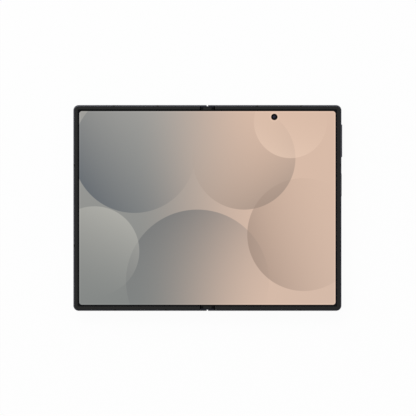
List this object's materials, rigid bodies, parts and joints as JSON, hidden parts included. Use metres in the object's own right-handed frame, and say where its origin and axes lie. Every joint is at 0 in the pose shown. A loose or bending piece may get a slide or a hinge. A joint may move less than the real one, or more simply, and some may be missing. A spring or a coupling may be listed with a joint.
{
  "type": "foldable smartphone",
  "caption": "Book-style folding phone, open flat: two thin halves on a geared twin-axis hinge, flexible inner screen, camera island, side keys and a card tray.",
  "frame": {"origin": "Under the hinge centre, level with the faces of the camera rings, which are the lowest points when the open phone lies face up.", "axes": "+X from the hinge to the camera half's outer edge, +Y along the hinge to the top edge, +Z out of the inner screen."},
  "size_m": [0.1619, 0.1238, 0.0077],
  "materials": {
    "graphite_metal": "bead-blasted and anodised, satin",
    "break_plastic": "moulded into the band, satin",
    "soft_frame": "matt black",
    "black_glass": "polished",
    "back_glass": "etched satin",
    "screen": "polished film over the lit panel",
    "steel": "stamped or sintered",
    "battery_foil": "foil pouch",
    "circuit_board": "solder mask",
    "dark_plastic": "moulded",
    "copper": "foil and wire",
    "key_metal": "polished edge",
    "magnet": "nickel plated",
    "flash_plastic": "clear moulded"
  },
  "bodies": {
    "right_half": {"right_frame": "graphite_metal", "right_antenna_breaks": "break_plastic", "right_bezel": "soft_frame", "back_glass": "back_glass", "camera_island": "graphite_metal", "lens_rings": "key_metal", "lens_glasses": "black_glass", "camera_modules": "dark_plastic", "flash_lens": "flash_plastic", "main_board": "circuit_board", "shield_cans": "steel", "right_battery": "battery_foil", "charging_coil": "copper", "usb_socket": "steel", "usb_board": "circuit_board", "bottom_speaker": "dark_plastic", "key_switches": "copper", "inner_camera": "dark_plastic", "right_display": "screen", "right_support_sheet": "steel", "right_hinge_brackets": "steel", "right_magnets": "magnet", "right_screws": "steel"},
    "spine": {"spine_cover": "graphite_metal", "hinge_blocks": "steel", "hinge_shafts": "steel", "cam_bridges": "steel", "hinge_springs": "steel", "spine_end_caps": "dark_plastic", "display_fold_strip": "screen", "hinge_flexes": "copper"},
    "left_half": {"left_frame": "graphite_metal", "left_antenna_breaks": "break_plastic", "left_bezel": "soft_frame", "cover_glass": "black_glass", "cover_display": "black_glass", "cover_camera": "dark_plastic", "earpiece": "dark_plastic", "left_battery": "battery_foil", "left_board": "circuit_board", "vibration_motor": "steel", "sim_socket": "steel", "left_display": "screen", "left_support_sheet": "steel", "left_hinge_brackets": "steel", "left_magnets": "magnet", "left_screws": "steel"},
    "left_idlers": {"left_idler_gears": "steel"},
    "right_idlers": {"right_idler_gears": "steel"},
    "left_arms": {"left_sync_arms": "steel"},
    "right_arms": {"right_sync_arms": "steel"},
    "left_wing": {"left_wing_plate": "steel"},
    "right_wing": {"right_wing_plate": "steel"},
    "volume_button": {"volume_key": "key_metal"},
    "power_button": {"power_key": "key_metal"},
    "card_tray": {"sim_tray": "key_metal"}
  },
  "joints": [
    {"name": "left_fold", "type": "hinge", "parent": "spine", "child": "left_half", "pos_m": [-0.0013, 0, 0.0064], "axis": [0, 1, 0], "range_deg": [0, 90], "deforming": ["display_fold_strip", "hinge_flexes"]},
    {"name": "right_fold", "type": "hinge", "parent": "spine", "child": "right_half", "pos_m": [0.0013, 0, 0.0064], "axis": [0, 1, 0], "range_deg": [-90, 0]},
    {"name": "left_idler_turn", "type": "hinge", "parent": "spine", "child": "left_idlers", "pos_m": [-0.00082, 0, 0.00495], "axis": [0, 1, 0], "range_deg": [-90, 0]},
    {"name": "right_idler_turn", "type": "hinge", "parent": "spine", "child": "right_idlers", "pos_m": [0.00082, 0, 0.00495], "axis": [0, 1, 0], "range_deg": [0, 90]},
    {"name": "left_arm_turn", "type": "hinge", "parent": "spine", "child": "left_arms", "pos_m": [-0.00241, 0, 0.0054], "axis": [0, 1, 0], "range_deg": [0, 90]},
    {"name": "right_arm_turn", "type": "hinge", "parent": "spine", "child": "right_arms", "pos_m": [0.00241, 0, 0.0054], "axis": [0, 1, 0], "range_deg": [-90, 0]},
    {"name": "left_wing_tilt", "type": "hinge", "parent": "left_half", "child": "left_wing", "pos_m": [-0.0079, 0, 0.00605], "axis": [0, 1, 0], "range_deg": [0, 10]},
    {"name": "right_wing_tilt", "type": "hinge", "parent": "right_half", "child": "right_wing", "pos_m": [0.0079, 0, 0.00605], "axis": [0, 1, 0], "range_deg": [-10, 0]},
    {"name": "volume_press", "type": "slide", "parent": "right_half", "child": "volume_button", "axis": [-1, 0, 0], "range_m": [0, 0.00025], "stiffness_N_per_m": 3000},
    {"name": "power_press", "type": "slide", "parent": "right_half", "child": "power_button", "axis": [-1, 0, 0], "range_m": [0, 0.00015], "stiffness_N_per_m": 4000},
    {"name": "card_tray_slide", "type": "slide", "parent": "left_half", "child": "card_tray", "axis": [0, -1, 0], "range_m": [0, 0.018]}
  ],
  "couplings": [
    {"joint": "right_fold", "follows": "left_fold", "ratio": -1},
    {"joint": "left_idler_turn", "follows": "left_fold", "ratio": -1},
    {"joint": "right_idler_turn", "follows": "left_fold", "ratio": 1},
    {"joint": "left_arm_turn", "follows": "left_fold", "ratio": 1},
    {"joint": "right_arm_turn", "follows": "left_fold", "ratio": -1},
    {"joint": "left_wing_tilt", "follows": "left_fold", "ratio": 0.11111},
    {"joint": "right_wing_tilt", "follows": "left_fold", "ratio": -0.11111}
  ]
}
